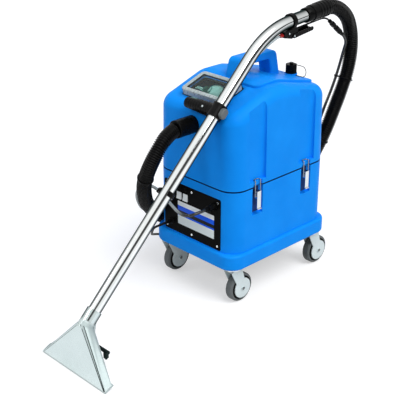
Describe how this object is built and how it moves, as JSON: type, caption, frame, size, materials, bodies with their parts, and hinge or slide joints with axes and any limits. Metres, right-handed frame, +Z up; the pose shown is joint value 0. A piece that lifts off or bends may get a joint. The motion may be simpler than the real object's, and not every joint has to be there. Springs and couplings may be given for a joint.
{
  "type": "carpet cleaner machine",
  "caption": "Portable carpet extraction cleaner on castors, with a latched recovery tank over a blue base, a clear lid, hoses, a coiled mains cord and a leaning chromed floor wand.",
  "frame": {"origin": "floor point under the middle of the machine and wand, hoses and cord left out", "axes": "+Z up, the machine's control panel and the wand's head look along -Y, +X to the machine's right"},
  "size_m": [0.5629, 1.2798, 0.9238],
  "materials": {
    "blue_shell": "moulded, satin",
    "black_panel": "matt",
    "black_plastic": "moulded",
    "motor_metal": "cast",
    "steel": "bright",
    "rubber": "matt",
    "white_plastic": "moulded",
    "clear_lid": "clear moulded plastic",
    "hose_black": "ribbed",
    "hose_grey": "smooth",
    "clear_line": "translucent",
    "cord_rubber": "smooth",
    "red_plastic": "moulded",
    "grey_plastic": "moulded",
    "chrome": "polished",
    "bright_metal": "polished sheet",
    "fork_metal": "zinc grey",
    "hub_grey": "moulded",
    "tyre": "solid rubber"
  },
  "bodies": {
    "machine": {"base_housing": "blue_shell", "vacuum_motor": "motor_metal", "control_panel": "black_panel", "panel_screws": "steel", "solution_coupler": "black_plastic", "cord_gland": "black_plastic", "castor_plates": "steel", "recovery_tank": "blue_shell", "carry_handle": "blue_shell", "tank_gasket": "rubber", "cap_tether": "black_plastic", "hose_inlet": "black_plastic", "inlet_cuff": "black_plastic", "latch_plates": "steel", "inlet_deflector": "white_plastic", "vacuum_hose": "hose_black", "solution_hose": "hose_grey", "hose_ties": "black_plastic", "mains_cord": "cord_rubber", "mains_coil": "cord_rubber", "coil_band": "black_plastic", "mains_plug": "black_plastic"},
    "pump_rocker": {"pump_switch": "white_plastic"},
    "vacuum_rocker": {"vacuum_switch": "white_plastic"},
    "lid": {"clear_lid": "clear_lid"},
    "cap": {"filler_cap": "black_plastic"},
    "wand": {"wand_tube": "chrome", "wand_head": "bright_metal", "head_glide": "bright_metal", "jet_manifold": "steel", "solution_line": "clear_line", "valve_body": "black_plastic", "push_fit_collar": "red_plastic", "front_grip": "black_plastic", "grip_cap": "grey_plastic", "hose_cuff": "black_plastic", "tube_clip": "black_plastic", "valve_whip": "cord_rubber", "hose_fitting": "black_plastic"},
    "trigger": {"trigger_lever": "black_plastic"},
    "fork_right_front": {"castor_fork_right_front": "fork_metal"},
    "wheel_right_front": {"castor_hub_right_front": "hub_grey", "castor_tyre_right_front": "tyre"},
    "lever_right_front": {"latch_lever_right_front": "steel"},
    "bail_right_front": {"latch_bail_right_front": "steel"},
    "fork_right_rear": {"castor_fork_right_rear": "fork_metal"},
    "wheel_right_rear": {"castor_hub_right_rear": "hub_grey", "castor_tyre_right_rear": "tyre"},
    "lever_right_rear": {"latch_lever_right_rear": "steel"},
    "bail_right_rear": {"latch_bail_right_rear": "steel"},
    "fork_left_front": {"castor_fork_left_front": "fork_metal"},
    "wheel_left_front": {"castor_hub_left_front": "hub_grey", "castor_tyre_left_front": "tyre"},
    "lever_left_front": {"latch_lever_left_front": "steel"},
    "bail_left_front": {"latch_bail_left_front": "steel"},
    "fork_left_rear": {"castor_fork_left_rear": "fork_metal"},
    "wheel_left_rear": {"castor_hub_left_rear": "hub_grey", "castor_tyre_left_rear": "tyre"},
    "lever_left_rear": {"latch_lever_left_rear": "steel"},
    "bail_left_rear": {"latch_bail_left_rear": "steel"}
  },
  "joints": [
    {"name": "wand_lean", "type": "hinge", "parent": "machine", "child": "wand", "pos_m": [0.0735, -0.59064, 0], "axis": [1, 0, 0], "range_deg": [0, 15], "deforming": ["vacuum_hose", "solution_hose", "hose_ties"]},
    {"name": "trigger_squeeze", "type": "hinge", "parent": "wand", "child": "trigger", "pos_m": [0.0735, 0.33019, 0.83367], "axis": [1, 0, 0], "range_deg": [0, 5.5], "stiffness_Nm_per_rad": 6, "springref_deg": -2.86},
    {"name": "lid_lift", "type": "slide", "parent": "machine", "child": "lid", "axis": [0, -0.3208, 0.9471], "range_m": [0, 0.07]},
    {"name": "cap_turn", "type": "hinge", "parent": "machine", "child": "cap", "pos_m": [0.0055, 0.41477, 0.69], "axis": [0, 0, 1], "range_deg": [0, 270]},
    {"name": "pump_rock", "type": "hinge", "parent": "machine", "child": "pump_rocker", "pos_m": [-0.0965, -0.00023, 0.328], "axis": [1, 0, 0], "range_deg": [0, 14]},
    {"name": "vacuum_rock", "type": "hinge", "parent": "machine", "child": "vacuum_rocker", "pos_m": [-0.0675, -0.00023, 0.328], "axis": [1, 0, 0], "range_deg": [0, 14]},
    {"name": "swivel_right_front", "type": "hinge", "parent": "machine", "child": "fork_right_front", "pos_m": [0.1175, 0.03277, 0.125], "axis": [0, 0, 1], "continuous": true},
    {"name": "roll_right_front", "type": "hinge", "parent": "fork_right_front", "child": "wheel_right_front", "pos_m": [0.1175, 0.05977, 0.05], "axis": [1, 0, 0], "continuous": true},
    {"name": "lever_right_front_turn", "type": "hinge", "parent": "machine", "child": "lever_right_front", "pos_m": [0.1465, 0.10927, 0.38], "axis": [0, -1, 0], "range_deg": [0, 110]},
    {"name": "bail_right_front_turn", "type": "hinge", "parent": "lever_right_front", "child": "bail_right_front", "pos_m": [0.1465, 0.10927, 0.368], "axis": [0, -1, 0], "range_deg": [-110, 0]},
    {"name": "swivel_right_rear", "type": "hinge", "parent": "machine", "child": "fork_right_rear", "pos_m": [0.1175, 0.42077, 0.125], "axis": [0, 0, 1], "continuous": true},
    {"name": "roll_right_rear", "type": "hinge", "parent": "fork_right_rear", "child": "wheel_right_rear", "pos_m": [0.1175, 0.44777, 0.05], "axis": [1, 0, 0], "continuous": true},
    {"name": "lever_right_rear_turn", "type": "hinge", "parent": "machine", "child": "lever_right_rear", "pos_m": [0.1465, 0.34427, 0.38], "axis": [0, -1, 0], "range_deg": [0, 110]},
    {"name": "bail_right_rear_turn", "type": "hinge", "parent": "lever_right_rear", "child": "bail_right_rear", "pos_m": [0.1465, 0.34427, 0.368], "axis": [0, -1, 0], "range_deg": [-110, 0]},
    {"name": "swivel_left_front", "type": "hinge", "parent": "machine", "child": "fork_left_front", "pos_m": [-0.1825, 0.03277, 0.125], "axis": [0, 0, 1], "continuous": true},
    {"name": "roll_left_front", "type": "hinge", "parent": "fork_left_front", "child": "wheel_left_front", "pos_m": [-0.1825, 0.05977, 0.05], "axis": [1, 0, 0], "continuous": true},
    {"name": "lever_left_front_turn", "type": "hinge", "parent": "machine", "child": "lever_left_front", "pos_m": [-0.2115, 0.10927, 0.38], "axis": [0, 1, 0], "range_deg": [0, 110]},
    {"name": "bail_left_front_turn", "type": "hinge", "parent": "lever_left_front", "child": "bail_left_front", "pos_m": [-0.2115, 0.10927, 0.368], "axis": [0, 1, 0], "range_deg": [-110, 0]},
    {"name": "swivel_left_rear", "type": "hinge", "parent": "machine", "child": "fork_left_rear", "pos_m": [-0.1825, 0.42077, 0.125], "axis": [0, 0, 1], "continuous": true},
    {"name": "roll_left_rear", "type": "hinge", "parent": "fork_left_rear", "child": "wheel_left_rear", "pos_m": [-0.1825, 0.44777, 0.05], "axis": [1, 0, 0], "continuous": true},
    {"name": "lever_left_rear_turn", "type": "hinge", "parent": "machine", "child": "lever_left_rear", "pos_m": [-0.2115, 0.34427, 0.38], "axis": [0, 1, 0], "range_deg": [0, 110]},
    {"name": "bail_left_rear_turn", "type": "hinge", "parent": "lever_left_rear", "child": "bail_left_rear", "pos_m": [-0.2115, 0.34427, 0.368], "axis": [0, 1, 0], "range_deg": [-110, 0]}
  ],
  "couplings": [
    {"joint": "bail_right_front_turn", "follows": "lever_right_front_turn", "ratio": -1},
    {"joint": "bail_right_rear_turn", "follows": "lever_right_rear_turn", "ratio": -1},
    {"joint": "bail_left_front_turn", "follows": "lever_left_front_turn", "ratio": -1},
    {"joint": "bail_left_rear_turn", "follows": "lever_left_rear_turn", "ratio": -1}
  ]
}
